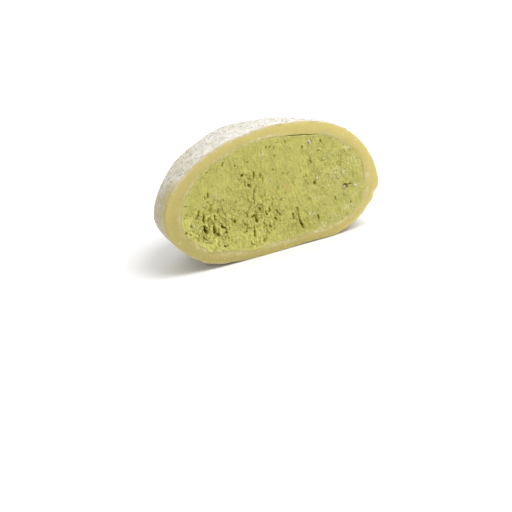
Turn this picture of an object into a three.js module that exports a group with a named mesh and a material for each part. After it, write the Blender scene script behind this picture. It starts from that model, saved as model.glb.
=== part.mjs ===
// Half of a mochi: a soft rice dough skin round green tea ice cream, cut through the middle.
// Millimetres, +Z up. It rests on its flat foot, the cut face looks along -Y, and the origin
// is under the middle of its bounding box.
import * as THREE from "three";

// Driving dimensions.
const WIDTH = 48; // across the cut, from side to side of the belly
const HEIGHT = 26.4; // from the foot to the crown
const DEPTH = 24; // from the cut face to the back of the belly
const SKIN_TOP = 2.35; // skin thickness under the crown
const SKIN_SIDE = 3.1; // at the belly, left and right
const SKIN_BACK = 2.8; // at the back of the belly
const SKIN_FLOOR = 2.15; // under the filling
const SKIN_SPLIT = 0.14; // each solid stands back this far from the line where they meet
const CUT_Y = -DEPTH / 2;

// A form is a stack of level slices, each half an ellipse behind the cut face. On each side it
// reaches furthest out at the height of its belly. Above the belly the outline is a quarter of a
// superellipse up to the crown, and below it another quarter tucks in to the foot.
const OUTSIDE = {
  crown: { x: 0.4, z: HEIGHT },
  floor: 0,
  right: { reach: WIDTH / 2, belly: 9.2, shoulder: 2.25, foot: 11.5, tuck: 1.65 },
  left: { reach: WIDTH / 2, belly: 12.0, shoulder: 2.0, foot: 8.4, tuck: 1.92 },
  back: { reach: DEPTH, belly: 10.4, shoulder: 2.1, foot: 13.2, tuck: 1.85 },
};
const INSIDE = {
  crown: { x: -0.2, z: HEIGHT - SKIN_TOP },
  floor: SKIN_FLOOR,
  right: { reach: WIDTH / 2 - SKIN_SIDE + 0.15, belly: 11.6, shoulder: 2.2, foot: 8.2, tuck: 2.6 },
  left: { reach: WIDTH / 2 - SKIN_SIDE - 0.2, belly: 11.4, shoulder: 2.05, foot: 5.2, tuck: 1.95 },
  back: { reach: DEPTH - SKIN_BACK, belly: 11, shoulder: 2.1, foot: 11, tuck: 2.0 },
};

// Points are looked for along rays from this centre on the cut face, with directions stretched
// like the body, so that they spread evenly over its long oval.
const CENTRE = { x: 0, z: 12 };
const STRETCH = { x: 24, y: 24, z: 13.5 };
const FAR = 60;
const HALVINGS = 44;

// Grid cells across and up the face of the filling and the back of the skin, and rings on the
// surfaces between skin and filling.
const FACE_CELLS = { across: 72, up: 38 };
const BACK_CELLS = { across: 46, up: 28 };
const HIDDEN_RINGS = 7;

// The skin's belly and crown are a little uneven behind the cut. The lumps rise over the first
// millimetres from the cut and from the foot, and are gone again at the furthest back.
const LUMP = 0.011; // as a share of the way out from the centre
const LUMP_RISE = 6;
const LUMPS = [
  { x: 3.1, y: 1.9, z: 2.4, turn: 0.4 },
  { x: -2.2, y: 4.3, z: 1.3, turn: 2.1 },
  { x: 4.6, y: -2.7, z: 3.8, turn: 4.4 },
];

// Long tears that the knife dragged down the frozen filling. Each has its middle, its half
// length, half width and depth, and how far its foot leans to the right.
const TEARS = [
  { x: -16.7, z: 11.9, long: 1.2, wide: 0.8, deep: 1.1, lean: -0.3 },
  { x: -15.6, z: 11.0, long: 1.7, wide: 0.8, deep: 1.1, lean: 0.1 },
  { x: -15.4, z: 8.7, long: 1.8, wide: 0.9, deep: 1.3, lean: 0.15 },
  { x: -13.7, z: 8.8, long: 1.9, wide: 0.8, deep: 1.1, lean: 0.1 },
  { x: -11.5, z: 8.0, long: 1.9, wide: 0.8, deep: 1.1, lean: 0.2 },
  { x: -4.3, z: 7.9, long: 1.3, wide: 0.8, deep: 1.0, lean: 0.2 },
  { x: -5.1, z: 5.2, long: 1.9, wide: 0.9, deep: 0.7, lean: 0.0 },
  { x: -3.8, z: 13.1, long: 2.9, wide: 0.8, deep: 0.8, lean: -0.2 },
  { x: 0.7, z: 8.2, long: 1.3, wide: 0.8, deep: 0.8, lean: 0.3 },
  { x: 5.3, z: 5.8, long: 2.6, wide: 0.8, deep: 1.1, lean: 0.1 },
  { x: 9.5, z: 5.6, long: 1.5, wide: 0.8, deep: 0.6, lean: 0.2 },
  { x: 16.1, z: 9.7, long: 0.9, wide: 0.9, deep: 0.9, lean: 0.0 },
];

// Small pits between the tears, drawn over the width and height of the face. They crowd round
// the place at the lower left where the filling crumbled, and are few elsewhere.
const PIT = { count: 70, small: 0.7, large: 0.95, shallow: 0.3, deep: 0.7, stretch: 1.5, lean: 0.2, seed: 9 };
const PIT_FIELD = { halfWidth: 19, low: 3, high: 22 };
const CRUMBLED = { x: -11, z: 8, halfWidth: 9, halfHeight: 5, elsewhere: 0.12 };

// Low ridges that run down the face: their height, and two waves across it.
const RIDGE_HEIGHT = 0.16;
const WAVY_RIDGES = { across: 2.3, sway: 1.4, swayUp: 0.55 };
const LEANING_RIDGES = { across: 2.9, up: -0.9, turn: 1.1 };
const RELIEF_MARGIN = 0.93; // the relief fades out from this share of the way to the skin

const DOUGH_COLOUR = 0xd9c878;
const ICE_CREAM_COLOUR = 0xc4bd66;

// How far a form reaches to one side of the crown's axis at height z.
function reachAt(form, side, z, crownX) {
  if (z >= side.belly) {
    const rise = (z - side.belly) / (form.crown.z - side.belly);
    return crownX + (side.reach - crownX) * (1 - rise ** side.shoulder) ** (1 / side.shoulder);
  }
  const drop = (side.belly - z) / (side.belly - form.floor);
  return side.foot + (side.reach - side.foot) * (1 - drop ** side.tuck) ** (1 / side.tuck);
}

// Whether a form holds a point, with y counted from the cut face.
function holds(form, x, y, z) {
  if (z <= form.floor || z >= form.crown.z) return false;
  const right = reachAt(form, form.right, z, form.crown.x);
  const left = reachAt(form, form.left, z, -form.crown.x);
  const back = reachAt(form, form.back, z, 0);
  const middle = (right - left) / 2;
  const half = (right + left) / 2;
  return ((x - middle) / half) ** 2 + (y / back) ** 2 < 1;
}

// The same form moved out by a distance on every side.
function grown(form, by) {
  const side = (s) => ({ ...s, reach: s.reach + by, foot: s.foot + by });
  return {
    crown: { x: form.crown.x, z: form.crown.z + by },
    floor: form.floor - by,
    right: side(form.right),
    left: side(form.left),
    back: side(form.back),
  };
}

// The direction on a half ball for a point p, q of the unit disc. The disc's rim is the cut.
function directionOf(p, q) {
  const r = Math.min(1, Math.hypot(p, q));
  const share = r > 0 ? Math.sin((r * Math.PI) / 2) / r : Math.PI / 2;
  const behind = r > 1 - 1e-9 ? 0 : Math.cos((r * Math.PI) / 2);
  return { x: p * share, y: behind, z: q * share };
}

// Where the ray through a disc point leaves a form, found by halving the interval.
function surfacePoint(form, p, q) {
  const d = directionOf(p, q);
  const step = { x: d.x * STRETCH.x, y: d.y * STRETCH.y, z: d.z * STRETCH.z };
  let near = 0;
  let far = FAR / STRETCH.z;
  for (let i = 0; i < HALVINGS; i++) {
    const t = (near + far) / 2;
    if (holds(form, CENTRE.x + step.x * t, step.y * t, CENTRE.z + step.z * t)) near = t;
    else far = t;
  }
  const z = CENTRE.z + step.z * near;
  const onFloor = Math.abs(z - form.floor) < 1e-6;
  return new THREE.Vector3(CENTRE.x + step.x * near, step.y * near, onFloor ? form.floor : z);
}

// Moves a point of the outside in or out by the lumps.
function lumpy(point) {
  const u = point.x / STRETCH.x;
  const v = point.y / STRETCH.y;
  const w = (point.z - CENTRE.z) / STRETCH.z;
  const wave = LUMPS.reduce((sum, l) => sum + Math.sin(l.x * u + l.y * v + l.z * w + l.turn), 0);
  const { smoothstep } = THREE.MathUtils;
  const behindCut = smoothstep(point.y, 0, LUMP_RISE) * (1 - smoothstep(point.y, DEPTH - LUMP_RISE, DEPTH));
  const scale = 1 + (LUMP * wave * behindCut * smoothstep(point.z, 0, LUMP_RISE)) / LUMPS.length;
  return new THREE.Vector3(point.x * scale, point.y * scale, CENTRE.z + (point.z - CENTRE.z) * scale);
}

// A seeded draw from 0 to 1, the same on every run.
function drawer(seed) {
  let state = seed;
  return () => {
    state = (state * 1664525 + 1013904223) % 4294967296;
    return state / 4294967296;
  };
}

function scatteredPits() {
  const draw = drawer(PIT.seed);
  const pits = [];
  while (pits.length < PIT.count) {
    const x = (draw() * 2 - 1) * PIT_FIELD.halfWidth;
    const z = PIT_FIELD.low + draw() * (PIT_FIELD.high - PIT_FIELD.low);
    const across = (x - CRUMBLED.x) / CRUMBLED.halfWidth;
    const up = (z - CRUMBLED.z) / CRUMBLED.halfHeight;
    const share = CRUMBLED.elsewhere + (1 - CRUMBLED.elsewhere) * Math.exp(-(across ** 2) - up ** 2);
    const wide = PIT.small + (PIT.large - PIT.small) * draw();
    const deep = PIT.shallow + (PIT.deep - PIT.shallow) * draw();
    if (draw() > share) continue;
    pits.push({ x, z, long: wide * PIT.stretch, wide, deep, lean: PIT.lean });
  }
  return pits;
}
const HOLLOWS = [...TEARS, ...scatteredPits()];

// How far the torn face lies behind the cut at a point of it.
function tornDepth(x, z) {
  let depth = 0;
  for (const h of HOLLOWS) {
    const along = (z - h.z) / h.long;
    const across = (x - h.x + h.lean * (z - h.z)) / h.wide;
    depth = Math.max(depth, h.deep * Math.exp(-(along ** 2) - across ** 2));
  }
  const wavy = Math.sin(WAVY_RIDGES.across * x + WAVY_RIDGES.sway * Math.sin(WAVY_RIDGES.swayUp * z));
  const leaning = Math.sin(LEANING_RIDGES.across * x + LEANING_RIDGES.up * z + LEANING_RIDGES.turn);
  return depth + (RIDGE_HEIGHT * (2 + wavy + leaning)) / 2;
}

// Points of the unit disc under a grid of cells, by the rule that bends a square into a disc.
function discGrid(cells) {
  const rows = [];
  for (let j = 0; j <= cells.up; j++) {
    const t = (2 * j) / cells.up - 1;
    const row = [];
    for (let i = 0; i <= cells.across; i++) {
      const s = (2 * i) / cells.across - 1;
      row.push([s * Math.sqrt(1 - (t * t) / 2), t * Math.sqrt(1 - (s * s) / 2)]);
    }
    rows.push(row);
  }
  return rows;
}

// Indices of the grid's border, once round: along the bottom, up the right side, and back.
function borderOf(cells) {
  const wide = cells.across + 1;
  const border = [];
  for (let i = 0; i < cells.across; i++) border.push(i);
  for (let j = 0; j < cells.up; j++) border.push(j * wide + cells.across);
  for (let i = cells.across; i > 0; i--) border.push(cells.up * wide + i);
  for (let j = cells.up; j > 0; j--) border.push(j * wide);
  return border;
}

// A closed mesh in the making: points and triangles, with strips that join loops of points.
class Shell {
  constructor() {
    this.points = [];
    this.triangles = [];
  }

  add(point) {
    this.points.push(point);
    return this.points.length - 1;
  }

  // A grid of disc points, each made a point of space by place. With away it looks along +Y.
  grid(cells, place, away) {
    const disc = discGrid(cells);
    const first = this.points.length;
    const wide = cells.across + 1;
    disc.flat().forEach(([p, q]) => this.add(place(p, q)));
    for (let j = 0; j < cells.up; j++) {
      for (let i = 0; i < cells.across; i++) {
        const a = first + j * wide + i;
        const corners = [a, a + 1, a + wide + 1, a + wide];
        if (away) corners.reverse();
        const [near, second, third, fourth] = corners;
        this.triangles.push([near, second, third], [near, third, fourth]);
      }
    }
    const rim = disc.flat();
    return borderOf(cells).map((k) => ({ index: first + k, p: rim[k][0], q: rim[k][1] }));
  }

  // A band between two loops of the same length.
  band(outer, inner) {
    outer.forEach((a, i) => {
      const next = (i + 1) % outer.length;
      this.triangles.push([a, outer[next], inner[next]], [a, inner[next], inner[i]]);
    });
  }

  // Rings from a loop on the cut over the hidden side of a form to its back, closed by a fan.
  bowl(loop, form, outwards) {
    let last = loop.map((k) => k.index);
    const join = (outer, inner) => (outwards ? this.band(inner, outer) : this.band(outer, inner));
    for (let ring = 1; ring < HIDDEN_RINGS; ring++) {
      const r = 1 - ring / HIDDEN_RINGS;
      const next = loop.map((k) => this.add(onCut(surfacePoint(form, k.p * r, k.q * r))));
      join(last, next);
      last = next;
    }
    const tip = this.add(onCut(surfacePoint(form, 0, 0)));
    last.forEach((a, i) => {
      const b = last[(i + 1) % last.length];
      this.triangles.push(outwards ? [b, a, tip] : [a, b, tip]);
    });
  }

  geometry() {
    const made = new THREE.BufferGeometry();
    const numbers = this.points.flatMap((v) => v.toArray());
    made.setAttribute("position", new THREE.Float32BufferAttribute(numbers, 3));
    made.setIndex(this.triangles.flat());
    made.computeVertexNormals();
    return made;
  }
}

// From distances behind the cut face to the part's own frame.
function onCut(point) {
  return new THREE.Vector3(point.x, point.y + CUT_Y, point.z);
}

function mesh(name, geometry, color, roughness) {
  const material = new THREE.MeshStandardMaterial({ color, roughness, metalness: 0 });
  const made = new THREE.Mesh(geometry, material);
  made.name = name;
  return made;
}

// The dough: its dusted outside, the bare band that the knife left, and the bowl inside it.
function riceSkin() {
  const shell = new Shell();
  const bowl = grown(INSIDE, SKIN_SPLIT);
  const rim = shell.grid(BACK_CELLS, (p, q) => onCut(lumpy(surfacePoint(OUTSIDE, p, q))), true);
  const lip = rim.map(({ p, q }) => ({ index: shell.add(onCut(surfacePoint(bowl, p, q))), p, q }));
  shell.band(
    rim.map((k) => k.index),
    lip.map((k) => k.index),
  );
  shell.bowl(lip, bowl, false);
  return mesh("rice_skin", shell.geometry(), DOUGH_COLOUR, 0.55);
}

// The filling: a torn face in the plane of the cut, and a smooth back against the dough.
function iceCream() {
  const shell = new Shell();
  const body = grown(INSIDE, -SKIN_SPLIT);
  const face = (p, q) => {
    const r = Math.min(1, Math.hypot(p, q));
    const edge = r > 0 ? surfacePoint(body, p / r, q / r) : new THREE.Vector3(CENTRE.x, 0, CENTRE.z);
    const x = CENTRE.x + (edge.x - CENTRE.x) * r;
    const z = CENTRE.z + (edge.z - CENTRE.z) * r;
    const shown = 1 - THREE.MathUtils.smoothstep(r, RELIEF_MARGIN, 1);
    return onCut(new THREE.Vector3(x, tornDepth(x, z) * shown, z));
  };
  const rim = shell.grid(FACE_CELLS, face, false);
  shell.bowl(rim, body, true);
  return mesh("ice_cream", shell.geometry(), ICE_CREAM_COLOUR, 0.85);
}

const mochi = new THREE.Group();
mochi.add(riceSkin(), iceCream());

export default mochi;
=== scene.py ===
# %% [markdown]
# Half of a mochi rice cake. A thin skin of pounded rice dough is wrapped round green tea ice
# cream, dusted with starch so that it doesn't stick, and cut straight through while frozen.
# The packed model brings the two solids at their real size. This lesson dresses them: the dough
# and the filling are made again with finer surfaces, and what is too small for the solids, such
# as starch, crumbs and ice, is added as pieces of its own.

# %% The packed model
import math

import bmesh
import bpy
import numpy as np
from mathutils import Matrix, Vector


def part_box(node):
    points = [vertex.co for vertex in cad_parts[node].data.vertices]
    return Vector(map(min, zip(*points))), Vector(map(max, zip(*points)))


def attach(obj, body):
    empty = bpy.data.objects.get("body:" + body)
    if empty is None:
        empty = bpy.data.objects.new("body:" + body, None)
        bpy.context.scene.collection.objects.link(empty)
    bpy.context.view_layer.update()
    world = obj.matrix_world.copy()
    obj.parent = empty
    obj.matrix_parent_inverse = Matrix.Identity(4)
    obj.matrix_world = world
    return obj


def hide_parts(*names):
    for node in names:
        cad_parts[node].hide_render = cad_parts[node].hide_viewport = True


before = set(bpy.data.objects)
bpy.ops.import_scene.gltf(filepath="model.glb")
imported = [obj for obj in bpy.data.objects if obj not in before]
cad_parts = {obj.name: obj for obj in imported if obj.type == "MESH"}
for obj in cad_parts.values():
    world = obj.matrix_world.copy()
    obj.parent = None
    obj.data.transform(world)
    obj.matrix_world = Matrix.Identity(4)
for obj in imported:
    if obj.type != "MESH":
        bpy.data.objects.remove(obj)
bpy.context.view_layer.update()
MM = 0.001
SKIN_LOW, SKIN_HIGH = (np.array(corner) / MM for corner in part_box("rice_skin"))
WIDTH, DEPTH, HEIGHT = SKIN_HIGH - SKIN_LOW
CUT_Y = SKIN_LOW[1]
print(f"The cake is {WIDTH:.1f} mm wide, {HEIGHT:.1f} mm high and {DEPTH:.1f} mm deep")

# %% [markdown]
# The camera comes first, so that every later step can be judged in its picture. The photograph
# was taken with a long lens from the left of the cut and a little above it, and the half leans
# in it. Here the half stands level and the camera is rolled instead, which gives the same
# picture. The place is worked out from the cut's middle, so that it keeps its place in the
# frame when the distance changes.

# %% Camera
AZIMUTH = math.radians(-23.2)
ELEVATION = math.radians(17.6)
ROLL = math.radians(8.5)
DISTANCE = 900  # mm from the cut's middle
PICTURE_WIDTH = 103.9  # mm of the cut's plane that the picture spans
CUT_MIDDLE = Vector((0, CUT_Y, 12.2))
MIDDLE_RIGHT = 3.25  # mm: the cut's middle lies right of the picture's middle
MIDDLE_UP = 12.5  # mm: and above it


def add_camera():
    """A long lens. Its axes are right, up and back, turned round back by the roll."""
    right = Vector((math.cos(AZIMUTH), math.sin(AZIMUTH), 0))
    back = Vector((math.sin(AZIMUTH), -math.cos(AZIMUTH), 0)) * math.cos(ELEVATION)
    back.z = math.sin(ELEVATION)
    turn = Matrix.Rotation(-ROLL, 3, back)
    right = turn @ right
    up = back.cross(right)
    place = CUT_MIDDLE - right * MIDDLE_RIGHT - up * MIDDLE_UP + back * DISTANCE
    data = bpy.data.cameras.new("camera")
    data.lens = data.sensor_width * DISTANCE / PICTURE_WIDTH
    data.clip_start, data.clip_end = 0.05, 20
    camera = bpy.data.objects.new("camera", data)
    axes = Matrix((right, up, back)).transposed()
    camera.matrix_world = Matrix.Translation(place * MM) @ axes.to_4x4()
    bpy.context.scene.collection.objects.link(camera)
    bpy.context.scene.camera = camera
    print(f"A {data.lens:.0f} mm lens looks at the cut from {DISTANCE} mm away")


add_camera()

# %% [markdown]
# The light is that of a white product shot: a bright surround from all sides, and one wide soft
# lamp high on the right that rakes down the cut, so that the tears in the filling get a dark
# side and a bright one. The standard view transform keeps colours as they are.

# %% Light and floor
SURROUND = 0.60
LAMPS = {
    "key_light": {"at": (0.30, -0.42, 0.78), "size": 0.70, "watts": 7.6},
    "back_light": {"at": (0.10, 0.45, 0.78), "size": 0.60, "watts": 1.8},
}
FLOOR_SIZE = 4.0  # metres
FLOOR_Z = -0.00002  # a hair under the foot, so that the two don't share a plane


def add_surround():
    """White light from every side, and the standard view."""
    world = bpy.data.worlds.new("white_surround")
    world.use_nodes = True
    background = world.node_tree.nodes["Background"]
    background.inputs["Color"].default_value = (1, 1, 1, 1)
    background.inputs["Strength"].default_value = SURROUND
    bpy.context.scene.world = world
    bpy.context.scene.view_settings.view_transform = "Standard"
    bpy.context.scene.view_settings.look = "None"


def add_lamp(name, at, size, watts):
    """A square area lamp that faces the cake."""
    data = bpy.data.lights.new(name, "AREA")
    data.shape = "SQUARE"
    data.size = size
    data.energy = watts
    lamp = bpy.data.objects.new(name, data)
    lamp.location = at
    lamp.rotation_euler = (-Vector(at)).to_track_quat("-Z", "Y").to_euler()
    bpy.context.scene.collection.objects.link(lamp)


def principled(name, **values):
    """A new material, its nodes and links, and its Principled shader with some plain values."""
    material = bpy.data.materials.new(name)
    material.use_nodes = True
    tree = material.node_tree
    shader = tree.nodes["Principled BSDF"]
    for socket, value in values.items():
        shader.inputs[socket.replace("_", " ")].default_value = value
    return material, tree, shader


def add_floor():
    """A pale square that isn't part of the cake."""
    half = FLOOR_SIZE / 2
    corners = [(-half, -half), (half, -half), (half, half), (-half, half)]
    mesh = bpy.data.meshes.new("floor")
    mesh.from_pydata([(x, y, FLOOR_Z) for x, y in corners], [], [(0, 1, 2, 3)])
    floor = bpy.data.objects.new("floor", mesh)
    material, _, _ = principled("pale_floor", Base_Color=(0.94, 0.94, 0.94, 1), Roughness=0.9)
    mesh.materials.append(material)
    bpy.context.scene.collection.objects.link(floor)


add_surround()
for lamp_name, lamp in LAMPS.items():
    add_lamp(lamp_name, **lamp)
add_floor()
print(f"{len(LAMPS)} soft lamps over a white floor")

# %% [markdown]
# The dough has no straight line in it. Cut level by level, the cake is half an ellipse behind
# the cut. From the front it is a low dome that tucks in to a flat foot. Both outlines could be
# drawn with curves by hand. Superellipses are used because four numbers on each side, which a
# ruler on a real cake would give, say the whole form, and the same rule with other numbers gives
# the filling inside.

# %% Forms of the cake and of its filling
SKIN_TOP, SKIN_SIDE, SKIN_BACK, SKIN_FLOOR = 2.35, 3.1, 2.8, 2.15
OUTSIDE = {
    "floor": 0.0,
    "crown": (0.4, HEIGHT),
    "right": {"reach": WIDTH / 2, "belly": 9.2, "shoulder": 2.25, "foot": 11.5, "tuck": 1.65},
    "left": {"reach": WIDTH / 2, "belly": 12.0, "shoulder": 2.0, "foot": 8.4, "tuck": 1.92},
    "back": {"reach": DEPTH, "belly": 10.4, "shoulder": 2.1, "foot": 13.2, "tuck": 1.85},
}
INNER_RIGHT = WIDTH / 2 - SKIN_SIDE + 0.15
INNER_LEFT = WIDTH / 2 - SKIN_SIDE - 0.2
INSIDE = {
    "floor": SKIN_FLOOR,
    "crown": (-0.2, HEIGHT - SKIN_TOP),
    "right": {"reach": INNER_RIGHT, "belly": 11.6, "shoulder": 2.2, "foot": 8.2, "tuck": 2.6},
    "left": {"reach": INNER_LEFT, "belly": 11.4, "shoulder": 2.05, "foot": 5.2, "tuck": 1.95},
    "back": {"reach": DEPTH - SKIN_BACK, "belly": 11, "shoulder": 2.1, "foot": 11, "tuck": 2.0},
}
CENTRE = np.array([0, 0, 12])  # mm: in the cut's middle, where every ray starts
STRETCH = np.array([24, 24, 13.5])  # mm: about half of the cake's size along x, y and z
FAR = 4.5  # times STRETCH, past every surface
HALVINGS = 26


def quarter(share, power):
    """A quarter of a superellipse: the root of one minus share to the power."""
    return (1 - np.clip(share, 0, 1) ** power) ** (1 / power)


def reach(form, side, z, axis_x):
    """How far a side reaches at height z: from the crown's axis out to the belly by one quarter,
    and from the belly in to the foot by another."""
    rise = (z - side["belly"]) / (form["crown"][1] - side["belly"])
    drop = (side["belly"] - z) / (side["belly"] - form["floor"])
    above = axis_x + (side["reach"] - axis_x) * quarter(rise, side["shoulder"])
    below = side["foot"] + (side["reach"] - side["foot"]) * quarter(drop, side["tuck"])
    return np.where(z >= side["belly"], above, below)


def holds(form, points):
    """Whether points lie in a form: between foot and crown, and in the level half ellipse."""
    x, y, z = points.T
    crown_x, crown_z = form["crown"]
    right = reach(form, form["right"], z, crown_x)
    left = reach(form, form["left"], z, -crown_x)
    back = reach(form, form["back"], z, 0)
    middle, half = (right - left) / 2, np.maximum((right + left) / 2, 1e-9)
    level = (z > form["floor"]) & (z < crown_z)
    return level & (((x - middle) / half) ** 2 + (y / back) ** 2 < 1)


def surface(form, p, q):
    """Points of a form's surface for points (p, q) of the unit disc. The disc's rim is the cut
    and its middle is the far back. A ray leaves the centre for each, turned back from the cut by
    a quarter turn times one minus the radius. The distance at which it leaves the form is found
    by halving. y is counted back from the cut, in millimetres."""
    r = np.minimum(np.hypot(p, q), 1)
    share = np.where(r > 0, np.sin(r * math.pi / 2) / np.maximum(r, 1e-12), math.pi / 2)
    behind = np.where(r > 1 - 1e-9, 0, np.cos(r * math.pi / 2))
    step = np.stack([p * share, behind, q * share], -1) * STRETCH
    near, far = np.zeros(len(step)), np.full(len(step), FAR)
    for _ in range(HALVINGS):
        middle = (near + far) / 2
        held = holds(form, CENTRE + step * middle[:, None])
        near, far = np.where(held, middle, near), np.where(held, far, middle)
    return CENTRE + step * near[:, None]


print(f"The skin is {SKIN_TOP} mm thick at the crown and about {SKIN_SIDE} mm at the belly")

# %% [markdown]
# Nothing on food is even, so every surface below needs controlled unevenness. Blender has noise
# textures for materials, but real bumps have to be in the mesh. A few small functions are enough:
# a bell marks one given place and spots several, hills makes soft waves of a chosen size, and
# chunks breaks a face into pieces with gaps.

# %% Hills and chunks
LATTICE = 32  # random values along each axis, before they repeat


def smooth(low, high, value):
    """0 below low, 1 above high, and 3t² - 2t³ in between."""
    t = np.clip((value - low) / (high - low), 0, 1)
    return t * t * (3 - 2 * t)


def bell(x, z, at_x, at_z, size):
    """1 at a place, and e to the minus squared distance away from it, in sizes."""
    return np.exp(-((x - at_x) ** 2 + (z - at_z) ** 2) / size**2)


def spots(x, z, places):
    """The sum of round soft spots, from 0 to 1. Each place is x, z and radius."""
    return np.clip(sum(bell(x, z, *place) for place in places), 0, 1)


def hills(points, size, seed):
    """Soft random waves, from about -1 to 1, with crests about size apart. Space is cut into
    cubes of that size, each corner has a random slope, and the eight slopes round a point are
    averaged with weights 6t⁵ - 15t⁴ + 10t³ along each axis. size may differ for x, y and z."""
    slopes = np.random.default_rng(seed).normal(size=(LATTICE, LATTICE, LATTICE, 3))
    slopes /= np.linalg.norm(slopes, axis=-1, keepdims=True)
    place = points / np.asarray(size, float)
    corner = np.floor(place).astype(int)
    part = place - corner
    weight = part**3 * (part * (part * 6 - 15) + 10)
    total = np.zeros(len(points))
    for step in np.ndindex(2, 2, 2):
        i, j, k = ((corner + step) % LATTICE).T
        height = ((part - step) * slopes[i, j, k]).sum(-1)
        total += height * np.where(step, weight, 1 - weight).prod(-1)
    return total * 1.6


def chunks(x, z, size, tilt, seed):
    """Flat chunks about size across, each at its own height from -1 to 1 and a little tilted, and
    how near the next chunk is. The face is cut into cells with one middle in each. A point belongs
    to the nearest middle, and the gap is how much farther the second nearest is, in sizes."""
    rng = np.random.default_rng(seed)
    middles = rng.uniform(0, 1, (LATTICE, LATTICE, 2))
    heights = rng.uniform(-1, 1, (LATTICE, LATTICE))
    slopes = rng.uniform(-tilt, tilt, (LATTICE, LATTICE, 2))
    place = np.stack([x, z], -1) / size
    cell = np.floor(place).astype(int)
    nearest, second, level = np.full(len(x), 9.0), np.full(len(x), 9.0), np.zeros(len(x))
    for step in np.ndindex(3, 3):
        near_cell = cell + step - 1
        i, j = (near_cell % LATTICE).T
        away = place - near_cell - middles[i, j]
        distance = np.hypot(*away.T)
        closer = distance < nearest
        level = np.where(closer, heights[i, j] + (away * slopes[i, j]).sum(-1), level)
        second = np.where(closer, nearest, np.minimum(second, distance))
        nearest = np.minimum(nearest, distance)
    return level, second - nearest


print(f"Waves and chunks repeat after {LATTICE} sizes")

# %% [markdown]
# Every mesh here is made of the same few parts: a grid bent into a disc, closed loops one inside
# the other, and a fan to a tip. Their faces depend only on how points are numbered, so they are
# worked out as whole arrays.

# %% Grids, loops and meshes
def disc_grid(across, up):
    """A square grid bent into the unit disc: p = s·√(1 - t²/2) and q = t·√(1 - s²/2)."""
    s, t = np.meshgrid(np.linspace(-1, 1, across + 1), np.linspace(-1, 1, up + 1))
    return (s * np.sqrt(1 - t * t / 2)).ravel(), (t * np.sqrt(1 - s * s / 2)).ravel()


def grid_quads(across, up):
    """Faces of a grid stored row by row. With x to the right and z up they look along -Y."""
    first = (np.arange(up)[:, None] * (across + 1) + np.arange(across)).ravel()
    return np.stack([first, first + 1, first + across + 2, first + across + 1], -1)


def grid_border(across, up):
    """The grid's border once round: along the bottom, up the right side, and back."""
    wide = across + 1
    bottom = np.arange(across)
    right = np.arange(up) * wide + across
    top = up * wide + np.arange(across, 0, -1)
    left = np.arange(up, 0, -1) * wide
    return np.concatenate([bottom, right, top, left])


def band(outer, inner):
    """Faces between two closed loops with the same number of points."""
    return np.stack([outer, np.roll(outer, -1), np.roll(inner, -1), inner], -1)


def bands(loops):
    """Faces between each loop and the next."""
    return np.concatenate([band(a, b) for a, b in zip(loops, loops[1:])])


def fan(loop, tip):
    """Triangles from a closed loop to one point."""
    return np.stack([loop, np.roll(loop, -1), np.full(len(loop), tip)], -1)


def facing_of(points, quads):
    """The direction out of each face, as long as its double area: its diagonals' cross product."""
    a, b, c, d = (points[quads[:, k]] for k in range(4))
    return np.cross(c - a, d - b)


def unit(vectors):
    """Vectors brought to length one."""
    return vectors / np.maximum(np.linalg.norm(vectors, axis=1, keepdims=True), 1e-12)


def normals_of(points, quads):
    """The direction out of a surface at each point: the sum over its faces of their directions,
    brought to length one."""
    facing = facing_of(points, quads)
    total = np.zeros_like(points)
    for k in range(4):
        np.add.at(total, quads[:, k], facing)
    return unit(total)


def add_piece(name, points, faces, material, slot, **attributes):
    """A mesh object at the origin from points in millimetres, y counted from the cut. It rides on
    the cake's one body. Attributes are one number for each point."""
    mesh = bpy.data.meshes.new(name)
    placed = (points + [0, CUT_Y, 0]) * MM
    mesh.from_pydata(placed.tolist(), [], [face for array in faces for face in array.tolist()])
    mesh.polygons.foreach_set("use_smooth", np.ones(len(mesh.polygons), bool))
    for key, values in attributes.items():
        layer = mesh.attributes.new(key, "FLOAT", "POINT")
        layer.data.foreach_set("value", np.asarray(values, np.float32))
    mesh.materials.append(material)
    mesh.update()
    piece = bpy.data.objects.new(name, mesh)
    bpy.context.scene.collection.objects.link(piece)
    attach(piece, "root")
    triangles = sum(len(polygon_corners) - 2 for array in faces for polygon_corners in array)
    print(f"{name}: {triangles} triangles")
    return piece


print(f"A disc of 4 by 3 cells has {len(grid_quads(4, 3))} faces")

# %% [markdown]
# Materials come next. A material in Blender is a tree of nodes with links between them. It could
# be put together by hand in the editor. In a script each node takes several lines, so this class
# gives the common ones short words.

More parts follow.
